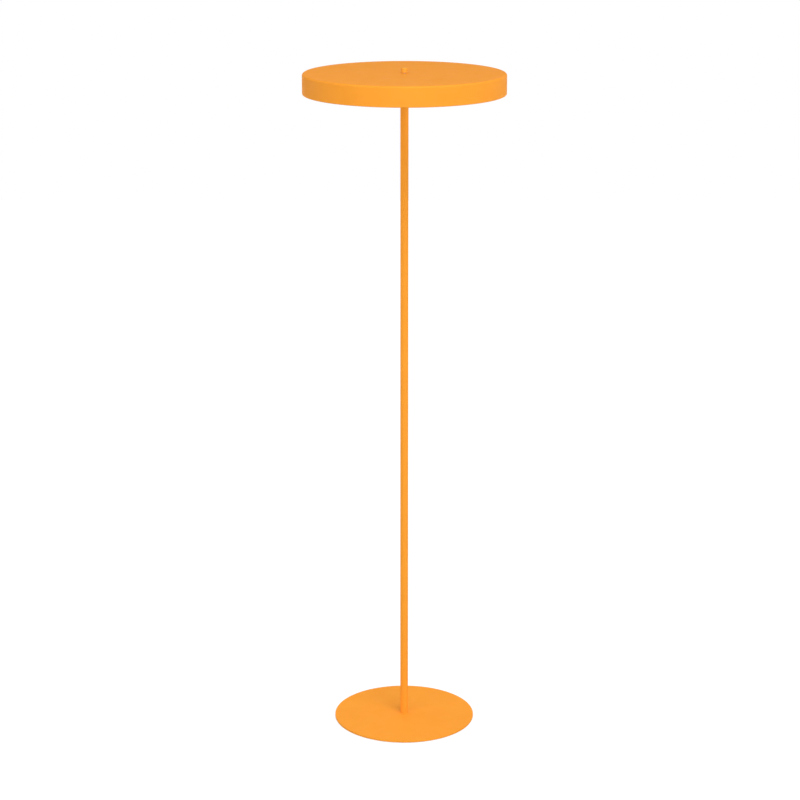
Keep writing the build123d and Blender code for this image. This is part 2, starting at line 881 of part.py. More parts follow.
def dimmer_dome():
    radius = dome_diameter / 2
    outer = make_face(
        [
            ThreePointArc((0, dome_height), (radius / 2, dome_height * 3 / 4), (radius, 0)),
            Line((radius, 0), (0, 0)),
            Line((0, 0), (0, dome_height)),
        ]
    )
    inner_radius = radius - dome_thickness
    inner_height = dome_height - dome_thickness
    inner = make_face(
        [
            ThreePointArc((0, inner_height), (inner_radius / 2, inner_height * 3 / 4), (inner_radius, 0)),
            Line((inner_radius, 0), (0, 0)),
            Line((0, 0), (0, inner_height)),
        ]
    )
    dome = revolve(Plane.XZ * outer, Axis.Z) - revolve(Plane.XZ * inner, Axis.Z)
    return Pos(0, 0, dimmer_pocket_bottom) * dome


def square_bar(width, bottom, top):
    """An upright square bar on the lamp's axis."""
    return block((-width / 2, -width / 2, bottom), (width / 2, width / 2, top))


def dimmer_rotor():
    disc = cylinder(dimmer_rotor_diameter / 2, rotor_bottom, rotor_top)
    return disc - square_bar(tang_width + 2 * slip_clearance, rotor_bottom, rotor_top)


def dimmer_shaft():
    shaft = cylinder(shaft_diameter / 2, shaft_shoulder, shaft_top)
    flat = shaft_diameter / 2 - shaft_flat_depth
    shaft -= block(
        (-shaft_diameter, flat, knob_bottom), (shaft_diameter, shaft_diameter, shaft_top)
    )
    shaft += square_bar(tang_width, shaft_foot_bottom, shaft_shoulder)
    return shaft + cylinder(shaft_foot_diameter / 2, shaft_foot_bottom, shaft_foot_top)


def dimmer_knob():
    knob = cylinder(knob_diameter / 2, knob_bottom, knob_bottom + knob_height)
    knob = fillet(circle_edges(knob)[-1], knob_edge_radius)
    knob = fillet(circle_edges(knob)[0], knob_lower_edge_radius)
    knob -= cylinder(shaft_diameter / 2 + slip_clearance, knob_bottom, shaft_top)
    thread = cylinder(knob_screw_diameter / 2 + thread_clearance, 0, knob_diameter)
    return knob - backwards(thread, 0, knob_bottom + knob_screw_height)


def knob_screw():
    screw = grub_screw(knob_screw_diameter, knob_screw_length, knob_screw_key)
    start = shaft_diameter / 2 - shaft_flat_depth + slip_clearance
    return backwards(screw, start, knob_bottom + knob_screw_height)


pieces = [
    base_plate,
    base_pad,
    base_screw,
    stem_tube,
    stem_foot_plug,
    cable_grommet,
    stem_head_plug,
    stem_nipple,
    stem_flange,
    flange_screws,
    head_washer,
    head_nut,
    shade,
    shade_studs,
    stud_spacers,
    stud_washers,
    stud_nuts,
    led_carrier,
    led_boards_outer,
    led_boards_inner,
    led_link_board,
    led_chips,
    board_connectors,
    board_screws,
    lead_terminal,
    lead_grommet,
    led_lead,
    diffuser,
    diffuser_collar,
    collar_screw,
    driver_case,
    driver_lid,
    driver_board,
    driver_transformer,
    driver_capacitors,
    driver_terminals,
    driver_screws,
    dimmer_standoffs,
    dimmer_board,
    dimmer_screws,
    dimmer_housing,
    dimmer_cover,
    dimmer_pins,
    dimmer_plug,
    dimmer_lead,
    dimmer_dome,
    dimmer_rotor,
    dimmer_shaft,
    dimmer_knob,
    knob_screw,
]

os.makedirs("parts", exist_ok=True)
for make in pieces:
    export_step(make(), f"parts/{make.__name__}.step")
print(len(pieces), "pieces, shade top at", shade_top, "and lowest rim at", shade_bottom)
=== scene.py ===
# %% [markdown]
# # A slim floor lamp with a disc shade
#
# The lamp is four coated steel shapes: a round base plate, one thin tube, a shallow pan turned
# upside down as its shade, and a small knob in the middle of the top. An opal disc closes the
# pan from below, and the lights, their driver and the dimmer are behind it.
#
# The engineering model is loaded first. It has every piece at its real size and place, so each
# shape below reads its outer size from there, and only its walls, holes and edges are written
# out. What the model can't have is the look: smooth round edges, the grain of the coat, the glow
# of the opal disc. Those are made here.

# %% Load the engineering model
import math

import bmesh
import bpy
from mathutils import Matrix, Vector


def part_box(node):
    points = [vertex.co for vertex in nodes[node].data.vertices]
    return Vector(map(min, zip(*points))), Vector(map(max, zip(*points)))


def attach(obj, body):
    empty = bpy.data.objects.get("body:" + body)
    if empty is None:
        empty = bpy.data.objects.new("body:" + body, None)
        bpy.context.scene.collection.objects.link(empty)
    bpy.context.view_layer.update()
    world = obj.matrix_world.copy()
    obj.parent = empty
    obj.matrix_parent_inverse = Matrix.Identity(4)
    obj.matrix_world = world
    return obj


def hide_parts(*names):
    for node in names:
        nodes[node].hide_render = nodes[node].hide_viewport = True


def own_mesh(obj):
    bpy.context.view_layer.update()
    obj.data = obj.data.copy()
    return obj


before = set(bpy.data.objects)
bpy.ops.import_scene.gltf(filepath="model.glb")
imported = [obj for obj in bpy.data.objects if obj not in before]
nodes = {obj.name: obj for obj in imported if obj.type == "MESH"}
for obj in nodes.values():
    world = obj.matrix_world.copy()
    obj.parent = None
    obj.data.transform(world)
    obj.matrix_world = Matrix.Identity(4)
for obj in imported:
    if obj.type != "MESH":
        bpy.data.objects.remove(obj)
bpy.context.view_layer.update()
mm = 0.001

# %% [markdown]
# ## The camera
#
# A camera has to stand where the photographer's stood, or no edge will fall in the right place.
# Two level discs of known size give it: how flat each ellipse looks tells how far the camera
# looks down, and how much larger the lower disc is drawn tells how far away it stands. It could
# also be placed by trying, but the fit is exact to a tenth of a pixel, so its values are used.
# The lens and the sensor's width are in millimetres.

# %% Place the camera
camera_place = (-0.0087, -4.3354, 1.8909)
camera_look_down = math.radians(15.496)
camera_lens = 99.84
camera_sensor = 36

camera_data = bpy.data.cameras.new("photo_camera")
camera_data.sensor_width = camera_sensor
camera_data.lens = camera_lens
camera = bpy.data.objects.new("photo_camera", camera_data)
camera.location = camera_place
camera.rotation_euler = (math.pi / 2 - camera_look_down, 0, 0)
bpy.context.scene.collection.objects.link(camera)
bpy.context.scene.camera = camera
bpy.context.scene.view_settings.view_transform = "Standard"
print("camera at", camera_place, "looking down",
      round(math.degrees(camera_look_down), 2), "degrees")

# %% [markdown]
# ## How a finish is built up
#
# A real surface is never one flat colour. Its tint drifts a little, its gloss is uneven, and it
# has a fine relief. Every finish of the lamp is one shader with those three things added to it,
# each from a pattern in the object's own coordinates, so that a pattern has a real size in metres
# and stays put when the piece moves. The helper holds the steps that all of them share. A noise
# hardly leaves the middle of its range, so that part of it is spread over the whole change.

# %% A helper for finishes
noise_low = 0.35
noise_high = 0.65


class Finish:
    """A material with one shader, and short ways to vary its tint, its gloss and its relief."""

    def __init__(self, name, colour, roughness, **constants):
        self.material = bpy.data.materials.new(name)
        self.material.use_nodes = True
        self.tree = self.material.node_tree
        self.shader = self.tree.nodes["Principled BSDF"]
        self.place = self.node("ShaderNodeTexCoord").outputs["Object"]
        self.colour = (*colour, 1)
        self.normal = None
        self.shader.inputs["Base Color"].default_value = self.colour
        self.shader.inputs["Roughness"].default_value = roughness
        for socket, value in constants.items():
            self.shader.inputs[socket.replace("_", " ")].default_value = value

    def node(self, kind, **settings):
        """Adds a node and sets its own properties."""
        made = self.tree.nodes.new(kind)
        for name, value in settings.items():
            setattr(made, name, value)
        return made

    def link(self, source, target):
        """Joins an output to an input."""
        self.tree.links.new(source, target)

    def stretched(self, stretch):
        """The object's coordinates, squeezed along an axis so that a pattern runs out along it."""
        mapping = self.node("ShaderNodeMapping")
        mapping.inputs["Scale"].default_value = stretch
        self.link(self.place, mapping.inputs["Vector"])
        return mapping.outputs["Vector"]

    def noise(self, size, detail=3.0, stretch=(1, 1, 1)):
        """A cloudy pattern whose features are about as wide as the size, in metres."""
        texture = self.node("ShaderNodeTexNoise")
        texture.inputs["Scale"].default_value = 1 / size
        texture.inputs["Detail"].default_value = detail
        self.link(self.stretched(stretch), texture.inputs["Vector"])
        return texture.outputs["Fac"]

    def between(self, pattern, low, high, start=noise_low, end=noise_high):
        """Turns the part of a pattern from start to end into a number from low to high."""
        span = self.node("ShaderNodeMapRange")
        span.inputs["From Min"].default_value = start
        span.inputs["From Max"].default_value = end
        span.inputs["To Min"].default_value = low
        span.inputs["To Max"].default_value = high
        self.link(pattern, span.inputs["Value"])
        return span.outputs["Result"]

    def tint(self, pattern, other, start=noise_low, end=noise_high):
        """Lets the colour run to another one where the pattern is high."""
        mix = self.node("ShaderNodeMix", data_type="RGBA")
        colours = [socket for socket in mix.inputs if socket.type == "RGBA"]
        colours[1].default_value = (*other, 1)
        base = self.shader.inputs["Base Color"]
        if base.is_linked:
            self.link(base.links[0].from_socket, colours[0])
        else:
            colours[0].default_value = self.colour
        self.link(self.between(pattern, 0, 1, start, end), mix.inputs["Factor"])
        self.link(next(out for out in mix.outputs if out.type == "RGBA"), base)

    def gloss(self, pattern, smooth, dull):
        """Lets the roughness run between two values."""
        self.link(self.between(pattern, smooth, dull), self.shader.inputs["Roughness"])

    def relief(self, pattern, height):
        """Raises the surface by up to that height, in metres, where the pattern is high."""
        bump = self.node("ShaderNodeBump")
        bump.inputs["Distance"].default_value = height
        self.link(pattern, bump.inputs["Height"])
        if self.normal:
            self.link(self.normal, bump.inputs["Normal"])
        self.normal = bump.outputs["Normal"]
        self.link(self.normal, self.shader.inputs["Normal"])

# %% [markdown]
# ## The orange powder coat
#
# Base, tube, shade and knob are sprayed with coloured powder and baked. The powder melts into a
# thick matt skin with a shallow orange peel of about a millimetre and a half, and a much finer
# grain on top. Its colour hardly changes, only a trace deeper where the skin is thicker.
# The skin is a plastic, not a metal. A matt powder breaks up its reflection so finely that no
# highlight is left, and even the flat top, seen at a low slant, stays orange and doesn't go
# pale. High roughness alone doesn't do that, so the specular level is set very low as well.
# The knob is paler than the top it stands on, although that top throws orange light at it. Its
# paler mix of the same coat is painted light: the lighter colour stands in for light on the knob.

# %% Mix the orange powder coat
coat_roughness = 0.66
coat_unevenness = 0.04
coat_specular = 0.06
coat_cloud = 45 * mm
coat_patch = 25 * mm
coat_peel = 1.6 * mm
coat_peel_height = 0.07 * mm
coat_grain = 0.3 * mm
coat_grain_height = 0.05 * mm


def powder_coat(name, colour, deeper):
    """A matt coat with a trace of a deeper colour, an orange peel and a fine grain."""
    made = Finish(name, colour, coat_roughness, Specular_IOR_Level=coat_specular)
    made.tint(made.noise(coat_cloud, detail=2.0), deeper)
    made.gloss(made.noise(coat_patch),
               coat_roughness - coat_unevenness, coat_roughness + coat_unevenness)
    made.relief(made.noise(coat_peel, detail=1.0), coat_peel_height)
    made.relief(made.noise(coat_grain, detail=2.0), coat_grain_height)
    print(name, "is", colour, "with a peel of", coat_peel, "m")
    return made


coat = powder_coat("orange_powder_coat", (0.93, 0.345, 0.034), (0.918, 0.334, 0.0315))
# The knob's paler coat is painted light: a lighter copy of the coat that stands in for light on
# the knob.
knob_painted_light_coat = powder_coat("knob_coat_painted_lighter", (0.91, 0.428, 0.056), (0.90, 0.416, 0.053))

# %% [markdown]
# ## Turning round pieces
#
# Nearly all of this lamp is round, so most of it can be made as on a lathe: draw half of the
# section as a few corners, and spin it once round the upright axis. A cylinder with edited ends
# would also do, but the section shows wall, lip and hole in one drawing, and it closes by
# itself. The corners are left sharp at first, and the bevel rounds each ring by its real
# radius afterwards. Every piece is a closed shell with a real wall.

# %% Helpers for turned pieces
turning_steps = 256
sharp_angle = math.radians(35)
near = 1e-6


def turned(outline, steps=turning_steps):
    """Spins corners of (radius, height) round the upright axis into a closed shell."""
    bm = bmesh.new()
    corners = [bm.verts.new((radius, 0, height)) for radius, height in outline]
    following = corners[1:]
    if outline[0][0] > near:
        following = following + corners[:1]
    sides = [bm.edges.new(pair) for pair in zip(corners, following)]
    bmesh.ops.spin(bm, geom=corners + sides, cent=(0, 0, 0), axis=(0, 0, 1),
                   angle=2 * math.pi, steps=steps, use_merge=True)
    bmesh.ops.remove_doubles(bm, verts=bm.verts, dist=near / 10)
    bmesh.ops.recalc_face_normals(bm, faces=bm.faces)
    return bm


def rounded(bm, radius, height, size, segments=6):
    """Rounds the ring of that radius at that height."""
    def on_ring(corner):
        return abs(corner.co.z - height) < near and abs(corner.co.xy.length - radius) < near

    ring = [edge for edge in bm.edges if all(on_ring(corner) for corner in edge.verts)]
    bmesh.ops.bevel(bm, geom=ring, offset=size, offset_type="OFFSET", affect="EDGES",
                    segments=segments, profile=0.5, material=-1)


def shown(bm, name, finish, body, slot, *stands_for):
    """Makes the mesh an object with its finish and body, and hides the nodes it stands for; the
    slot is not used.
    """
    mesh = bpy.data.meshes.new(name)
    bm.to_mesh(mesh)
    bm.free()
    mesh.shade_smooth()
    mesh.set_sharp_from_angle(angle=sharp_angle)
    mesh.materials.append(finish.material)
    piece = bpy.data.objects.new(name, mesh)
    bpy.context.scene.collection.objects.link(piece)
    even = piece.modifiers.new("even_shading", "WEIGHTED_NORMAL")
    even.keep_sharp = True
    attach(piece, body)
    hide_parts(*stands_for)
    print(name, "has", len(mesh.polygons), "faces")
    return piece

# %% [markdown]
# ## The base plate
#
# A disc cut from 4 mm steel plate, heavy enough to keep the tall lamp upright. Its top edge is
# eased by less than a millimetre, which shows as a fine light line. A countersunk screw comes up
# through the middle into the tube, so the plate has a hole with a cone at its lower end.

# %% Turn the base plate
plate_low, plate_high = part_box("base_plate")
screw_head_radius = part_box("base_screw")[1].x
plate_radius = plate_high.x
plate_hole = 3.25 * mm
plate_cone_room = 0.1 * mm
plate_cone_wide = screw_head_radius + plate_cone_room
plate_cone_top = plate_low.z + plate_cone_wide - plate_hole
plate_top_edge = 0.8 * mm
plate_low_edge = 0.4 * mm

base = turned([
    (plate_hole, plate_high.z),
    (plate_radius, plate_high.z),
    (plate_radius, plate_low.z),
    (plate_cone_wide, plate_low.z),
    (plate_hole, plate_cone_top),
])
rounded(base, plate_radius, plate_high.z, plate_top_edge)
rounded(base, plate_radius, plate_low.z, plate_low_edge, segments=3)
shown(base, "base_disc", coat, "lamp", "orange_coat", "base_plate")

# %% [markdown]
# ## The rubber pad
#
# A thin ring of black rubber is stuck under the plate, a little smaller than it, so that the
# steel never touches the floor and the lamp doesn't slide. Such pads have shallow round grooves
# pressed into them for grip. The grooves are corners of the same turned section. The rubber
# itself is a dull near-black with a fine pebble and a little pale dust on it.

# %% Turn the rubber pad
pad_low, pad_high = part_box("base_pad")
pad_hole = 15 * mm
groove_count = 5
groove_width = 4 * mm
groove_depth = 0.35 * mm
groove_pitch = (pad_high.x - pad_hole) / (groove_count + 1)

rubber = Finish("black_rubber", (0.022, 0.021, 0.020), 0.78, Specular_IOR_Level=0.35)
rubber.tint(rubber.noise(14 * mm), (0.05, 0.048, 0.045), start=0.5, end=0.75)
rubber.gloss(rubber.noise(5 * mm), 0.68, 0.88)
rubber.relief(rubber.noise(0.5 * mm), 0.02 * mm)

pad_outline = [(pad_hole, pad_high.z), (pad_high.x, pad_high.z), (pad_high.x, pad_low.z)]
for number in range(groove_count, 0, -1):
    middle = pad_hole + number * groove_pitch
    pad_outline += [
        (middle + groove_width / 2, pad_low.z),
        (middle + groove_width / 2 - groove_depth, pad_low.z + groove_depth),
        (middle - groove_width / 2 + groove_depth, pad_low.z + groove_depth),
        (middle - groove_width / 2, pad_low.z),
    ]
pad_outline.append((pad_hole, pad_low.z))
shown(turned(pad_outline), "pad_ring", rubber, "lamp", "pad_rubber", "base_pad")

# %% [markdown]
# ## The tube
#
# One straight steel tube of 16 mm with a 1.5 mm wall. Its section is a tall thin rectangle, spun
# like the rest. Near the foot a round hole is cut through the back of the wall, where the rubber
# grommet of the cable sits. A turned section can't have a hole from the side, so a Boolean
# modifier takes a drill-shaped cylinder away from it. Two extra rings below and above the hole
# keep the faces round it small, so that the long smooth wall still shades evenly.

# %% A helper for drilled holes
drill_steps = 48


def drilled(bm, radius, start, end):
    """Cuts a round hole through the shell, from one point to another."""
    start, end = Vector(start), Vector(end)
    along = end - start
    turn = along.to_track_quat("Z", "Y").to_matrix().to_4x4()
    drill_shape = bmesh.new()
    bmesh.ops.create_cone(drill_shape, cap_ends=True, segments=drill_steps,
                          radius1=radius, radius2=radius, depth=along.length,
                          matrix=Matrix.Translation((start + end) / 2) @ turn)
    blocks = []
    for shape in (bm, drill_shape):
        mesh = bpy.data.meshes.new("workpiece")
        shape.to_mesh(mesh)
        shape.free()
        block = bpy.data.objects.new("workpiece", mesh)
        bpy.context.scene.collection.objects.link(block)
        blocks.append(block)
    cut = blocks[0].modifiers.new("cut", "BOOLEAN")
    cut.operation = "DIFFERENCE"
    cut.solver = "EXACT"
    cut.object = blocks[1]
    result = bmesh.new()
    result.from_object(blocks[0], bpy.context.evaluated_depsgraph_get())
    for block in blocks:
        bpy.data.meshes.remove(block.data)
    print("drilled a round hole with a radius of", radius, "m")
    return result

# %% Turn and drill the tube
tube_low, tube_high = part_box("stem_tube")
tube_radius = tube_high.x
tube_wall = 1.5 * mm
tube_bore = tube_radius - tube_wall
tube_edge = 0.25 * mm
tube_steps = 96
outlet_low, outlet_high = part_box("cable_grommet")
outlet_height = (outlet_low.z + outlet_high.z) / 2
outlet_radius = 4 * mm
outlet_room = 10 * mm

tube = turned([
    (tube_bore, tube_high.z),
    (tube_radius, tube_high.z),
    (tube_radius, outlet_height + outlet_room),
    (tube_radius, outlet_height - outlet_room),
    (tube_radius, tube_low.z),
    (tube_bore, tube_low.z),
    (tube_bore, outlet_height - outlet_room),
    (tube_bore, outlet_height + outlet_room),
], tube_steps)
rounded(tube, tube_radius, tube_low.z, tube_edge, segments=3)
rounded(tube, tube_radius, tube_high.z, tube_edge, segments=3)
tube = drilled(tube, outlet_radius, (0, 0, outlet_height), (0, 2 * tube_radius, outlet_height))
shown(tube, "stem_pipe", coat, "lamp", "orange_coat", "stem_tube")

# %% [markdown]
# ## The shade
#
# A pan of 1 mm sheet, spun over a round block, with its mouth turned down. Three things give it
# away as sheet metal and are worth getting right: the top edge is rounded by about four times
# the sheet's thickness, the rim is rolled in to a narrow lip that the opal disc rests on, and
# the wall is thin where the shaft of the knob passes through. The section is drawn with both
# its faces, and each bend gets its outer and its inner radius.

# %% Turn the shade
shade_low, shade_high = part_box("shade")
shade_radius = shade_high.x
shade_wall = 1.0 * mm
shade_lip = 5.0 * mm
shade_hole = 3.8 * mm
shade_edge = 4.0 * mm
shade_rim = 1.5 * mm
shade_burr = 0.25 * mm
shade_inside = shade_radius - shade_wall
shade_mouth = shade_radius - shade_lip
shade_ceiling = shade_high.z - shade_wall
lip_top = shade_low.z + shade_wall

shade = turned([
    (shade_hole, shade_high.z),
    (shade_radius, shade_high.z),
    (shade_radius, shade_low.z),
    (shade_mouth, shade_low.z),
    (shade_mouth, lip_top),
    (shade_inside, lip_top),
    (shade_inside, shade_ceiling),
    (shade_hole, shade_ceiling),
])
rounded(shade, shade_radius, shade_high.z, shade_edge, segments=12)
rounded(shade, shade_inside, shade_ceiling, shade_edge - shade_wall, segments=8)
rounded(shade, shade_radius, shade_low.z, shade_rim)
rounded(shade, shade_inside, lip_top, shade_rim - shade_wall, segments=4)
rounded(shade, shade_mouth, shade_low.z, shade_burr, segments=3)
rounded(shade, shade_mouth, lip_top, shade_burr, segments=3)
shown(shade, "shade_pan", coat, "lamp", "orange_coat", "shade")

# %% [markdown]
# ## The knob
#
# A small turned cap with a blind bore for the shaft, which both turns and presses. It has the
# paler mix of the coat, whose lighter colour is painted light. Its section ends on the axis, so
# the spin closes it at the top without a seam, and the hole of its grub screw is drilled from the
# back, as in the tube. It rides on its own body, so it moves with its joints, and its gap keeps it
# clear of the shade when pressed.

# %% Turn and drill the knob
knob_low, knob_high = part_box("dimmer_knob")
knob_radius = knob_high.x
knob_bore = 3.05 * mm
knob_bore_depth = 7.2 * mm
knob_bore_end = knob_low.z + knob_bore_depth
knob_screw_radius = 1.55 * mm
knob_screw_rise = 3.6 * mm
knob_screw_height = knob_low.z + knob_screw_rise
knob_top_edge = 0.6 * mm
knob_low_edge = 0.3 * mm

knob = turned([
    (0, knob_high.z),
    (knob_radius, knob_high.z),
    (knob_radius, knob_low.z),
    (knob_bore, knob_low.z),
    (knob_bore, knob_bore_end),
    (0, knob_bore_end),
], tube_steps)
rounded(knob, knob_radius, knob_high.z, knob_top_edge)
rounded(knob, knob_radius, knob_low.z, knob_low_edge, segments=4)
knob = drilled(knob, knob_screw_radius,
               (0, 0, knob_screw_height), (0, 2 * knob_radius, knob_screw_height))
shown(knob, "knob_cap", knob_painted_light_coat, "knob", "orange_coat", "dimmer_knob")

# %% [markdown]
# ## The opal disc
#
# A disc of opal acrylic, 2 mm thick, lies on the shade's lip and closes it. It is turned like the
# shade, as a plain ring with its sharp edges taken off. Opal sheet scatters light inside itself,
# so it is milky rather than clear. A white paint would look chalky, so a part of the shader is
# light that travels a few millimetres under the skin. Its face is satin, not polished.

# %% Mix the opal and turn the disc
opal_low, opal_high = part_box("diffuser")
opal_hole = 8.5 * mm
opal_edge = 0.3 * mm
opal_white = (0.84, 0.82, 0.78)
glow_strength = 0.48

opal = Finish("opal_acrylic", opal_white, 0.38, Subsurface_Weight=0.35, Subsurface_Scale=4 * mm,
              Emission_Strength=glow_strength)
opal.tint(opal.noise(90 * mm), (0.86, 0.85, 0.82))
opal.gloss(opal.noise(12 * mm), 0.34, 0.42)
opal.relief(opal.noise(0.4 * mm), 0.004 * mm)

disc = turned([
    (opal_hole, opal_high.z),
    (opal_high.x, opal_high.z),
    (opal_high.x, opal_low.z),
    (opal_hole, opal_low.z),
])
rounded(disc, opal_high.x, opal_high.z, opal_edge, segments=3)
rounded(disc, opal_high.x, opal_low.z, opal_edge, segments=3)
shown(disc, "opal_disc", opal, "lamp", "opal", "diffuser")

# %% [markdown]
# ## The light behind the opal disc
#
# Two rings of lights shine down on the disc from behind, and even a good opal sheet shows where
# they are as slightly brighter bands. Real lights could be put inside, but they would need many
# more samples, so the disc itself glows. The glow is low and warm, as when dimmed: it colours the
# top of the tube and never drowns the coat's own colour. How bright a point is comes from its
# distance to the nearer ring.

# %% Light the opal disc in two rings
glow_warm = (1.0, 0.54, 0.16)
glow_between = (0.78, 0.41, 0.12)
light_rings = (95 * mm, 164.5 * mm)
band_width = 26 * mm


def distance_to_ring(finish, radius):
    """How far a point is from a circle round the upright axis."""
    flat = finish.stretched((1, 1, 0))
    length = finish.node("ShaderNodeVectorMath", operation="LENGTH")
    finish.link(flat, length.inputs[0])
    offset = finish.node("ShaderNodeMath", operation="SUBTRACT")
    offset.inputs[1].default_value = radius
    finish.link(length.outputs["Value"], offset.inputs[0])
    size = finish.node("ShaderNodeMath", operation="ABSOLUTE")
    finish.link(offset.outputs["Value"], size.inputs[0])
    return size.outputs["Value"]


nearest = opal.node("ShaderNodeMath", operation="MINIMUM")
for side, radius in zip(nearest.inputs, light_rings):
    opal.link(distance_to_ring(opal, radius), side)
glow = opal.node("ShaderNodeValToRGB")
glow.color_ramp.interpolation = "EASE"
glow.color_ramp.elements[0].color = (*glow_warm, 1)
glow.color_ramp.elements[1].color = (*glow_between, 1)
opal.link(opal.between(nearest.outputs["Value"], 0, 1, 0, band_width), glow.inputs["Fac"])
opal.link(glow.outputs["Color"], opal.shader.inputs["Emission Color"])
print("the glow has rings at", *light_rings, "m and a strength of", glow_strength)

# %% [markdown]
# ## The collar under the opal disc
#
# A coated ring slides on the tube and holds up the middle of the opal disc. One grub screw in
# its back clamps it. It is turned and drilled as the knob is, and rounded at its lower edge.

# %% Turn and drill the collar
collar_low, collar_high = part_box("diffuser_collar")
collar_radius = collar_high.x
collar_slip = 0.05 * mm
collar_bore = tube_radius + collar_slip
collar_edge = 0.6 * mm
collar_screw_radius = 2.05 * mm
collar_middle = (collar_low.z + collar_high.z) / 2

collar = turned([
    (collar_bore, collar_high.z),
    (collar_radius, collar_high.z),
    (collar_radius, collar_low.z),
    (collar_bore, collar_low.z),
], tube_steps)
rounded(collar, collar_radius, collar_low.z, collar_edge)
collar = drilled(collar, collar_screw_radius,
                 (0, 0, collar_middle), (0, 2 * collar_radius, collar_middle))
shown(collar, "collar_ring", coat, "lamp", "orange_coat", "diffuser_collar")

# %% [markdown]
# ## Metal finishes
#
# The screws, plugs, washers and plates inside are bare metal. Metal has its colour in its
# reflection, so the shader is fully metallic, and what tells one metal from another is the tint
# and the way its surface was made: zinc plate has a cloudy bluish skin, brass and aluminium show
# the tool's fine lines. Those lines are a noise that is squeezed across and drawn out along.

# %% Mix the metals
zinc = Finish("zinc_plate", (0.47, 0.48, 0.50), 0.42, Metallic=1.0)
zinc.tint(zinc.noise(3 * mm), (0.52, 0.50, 0.44), start=0.45, end=0.7)
zinc.gloss(zinc.noise(1.5 * mm), 0.34, 0.52)
zinc.relief(zinc.noise(0.3 * mm, stretch=(1, 1, 0.2)), 0.003 * mm)

blacked = Finish("blacked_steel", (0.035, 0.035, 0.038), 0.42, Metallic=0.6)
blacked.tint(blacked.noise(1.2 * mm), (0.07, 0.065, 0.06), start=0.5, end=0.7)
blacked.gloss(blacked.noise(0.8 * mm), 0.34, 0.52)
blacked.relief(blacked.noise(0.2 * mm), 0.002 * mm)

brass = Finish("turned_brass", (0.80, 0.58, 0.27), 0.28, Metallic=1.0)
brass.tint(brass.noise(4 * mm), (0.70, 0.47, 0.20), start=0.5, end=0.7)
brass.gloss(brass.noise(1 * mm, stretch=(0.3, 0.3, 3)), 0.22, 0.36)
brass.relief(brass.noise(0.25 * mm, stretch=(0.1, 0.1, 2)), 0.004 * mm)

rolled = Finish("rolled_aluminium", (0.80, 0.81, 0.82), 0.32, Metallic=1.0)
rolled.tint(rolled.noise(20 * mm), (0.74, 0.76, 0.79))
rolled.gloss(rolled.noise(2 * mm, stretch=(0.06, 1, 1)), 0.26, 0.40)
rolled.relief(rolled.noise(0.6 * mm, stretch=(0.02, 1, 1)), 0.004 * mm)
print("metals:", *(metal.material.name for metal in (zinc, blacked, brass, rolled)))

# %% [markdown]
# ## The snap dome under the shaft
#
# What clicks when the knob is pressed is a shallow dome of thin spring steel, 7 mm wide, under
# the shaft. It is the one piece that changes its shape: it gives way as the shaft comes down.
# It could be spun like the others, but a slice off the top of a ball is exactly its form. The
# ball's radius follows from the dome's width and height, and a ball inside it, smaller by the
# sheet's thickness, gives the underside. One cut leaves two rims on the board, one in the other,
# and filling the flat ring between them closes the shell.

# %% Slice the snap dome off two balls
dome_low, dome_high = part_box("dimmer_dome")
dome_radius = dome_high.x
dome_height = dome_high.z - dome_low.z
dome_sheet = 0.15 * mm
ball_radius = (dome_radius ** 2 + dome_height ** 2) / (2 * dome_height)
ball_middle = (0, 0, dome_high.z - ball_radius)

dome = bmesh.new()
for radius in (ball_radius, ball_radius - dome_sheet):
    bmesh.ops.create_uvsphere(dome, u_segments=tube_steps, v_segments=tube_steps, radius=radius,
                              matrix=Matrix.Translation(ball_middle))
bmesh.ops.bisect_plane(dome, geom=dome.verts[:] + dome.edges[:] + dome.faces[:], dist=near / 10,
                       plane_co=(0, 0, dome_low.z), plane_no=(0, 0, 1), clear_inner=True)
bmesh.ops.triangle_fill(dome, edges=[edge for edge in dome.edges if edge.is_boundary],
                        use_beauty=True, normal=(0, 0, -1))
bmesh.ops.recalc_face_normals(dome, faces=dome.faces)
print("the dome is", dome_height, "m high, on a ball of", ball_radius, "m")
snap_dome = shown(dome, "snap_dome", zinc, "lamp", "zinc_steel", "dimmer_dome")
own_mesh(snap_dome)

# %% [markdown]
# ## Plastics, boards and leads
#
# Moulded plastic has the fine sparked texture of its mould and a soft even gloss. A circuit
# board is glass cloth under a coloured lacquer, and its copper tracks show through as raised
# lines of a slightly different shade. On the ring boards the track runs round with the ring, so
# the tops of a wave in rings draw it, and on the small boards a brick pattern gives short
# straight runs that meet at right angles. The wave texture runs 20 times as fast as its scale
# says, so that factor is taken out again.

# %% Mix the moulded plastics and the sheath
mould_specular = 0.45
mould_cloud = 8 * mm
mould_patch = 2 * mm
mould_unevenness = 0.06
mould_height = 0.015 * mm


def moulded(name, colour, other, roughness, grain):
    """A plastic with a faint mottle, an uneven gloss and the fine texture of its mould."""
    plastic = Finish(name, colour, roughness, Specular_IOR_Level=mould_specular)
    plastic.tint(plastic.noise(mould_cloud), other)
    plastic.gloss(plastic.noise(mould_patch),
                  roughness - mould_unevenness, roughness + mould_unevenness)
    plastic.relief(plastic.noise(grain, detail=2.0), mould_height)
    print(name, "has a grain of", grain, "m")
    return plastic


grommet_black = moulded("grommet_rubber", (0.020, 0.020, 0.021), (0.032, 0.031, 0.030),
                        0.55, 0.3 * mm)
nylon_white = moulded("white_nylon", (0.78, 0.77, 0.73), (0.72, 0.70, 0.64), 0.45, 0.3 * mm)
driver_white = moulded("driver_shell", (0.74, 0.74, 0.72), (0.68, 0.68, 0.66), 0.50, 0.5 * mm)
dimmer_black = moulded("dimmer_nylon", (0.028, 0.028, 0.030), (0.045, 0.045, 0.046),
                       0.48, 0.25 * mm)
sheath_pale = moulded("lead_sheath", (0.78, 0.78, 0.76), (0.72, 0.72, 0.69), 0.42, 0.4 * mm)

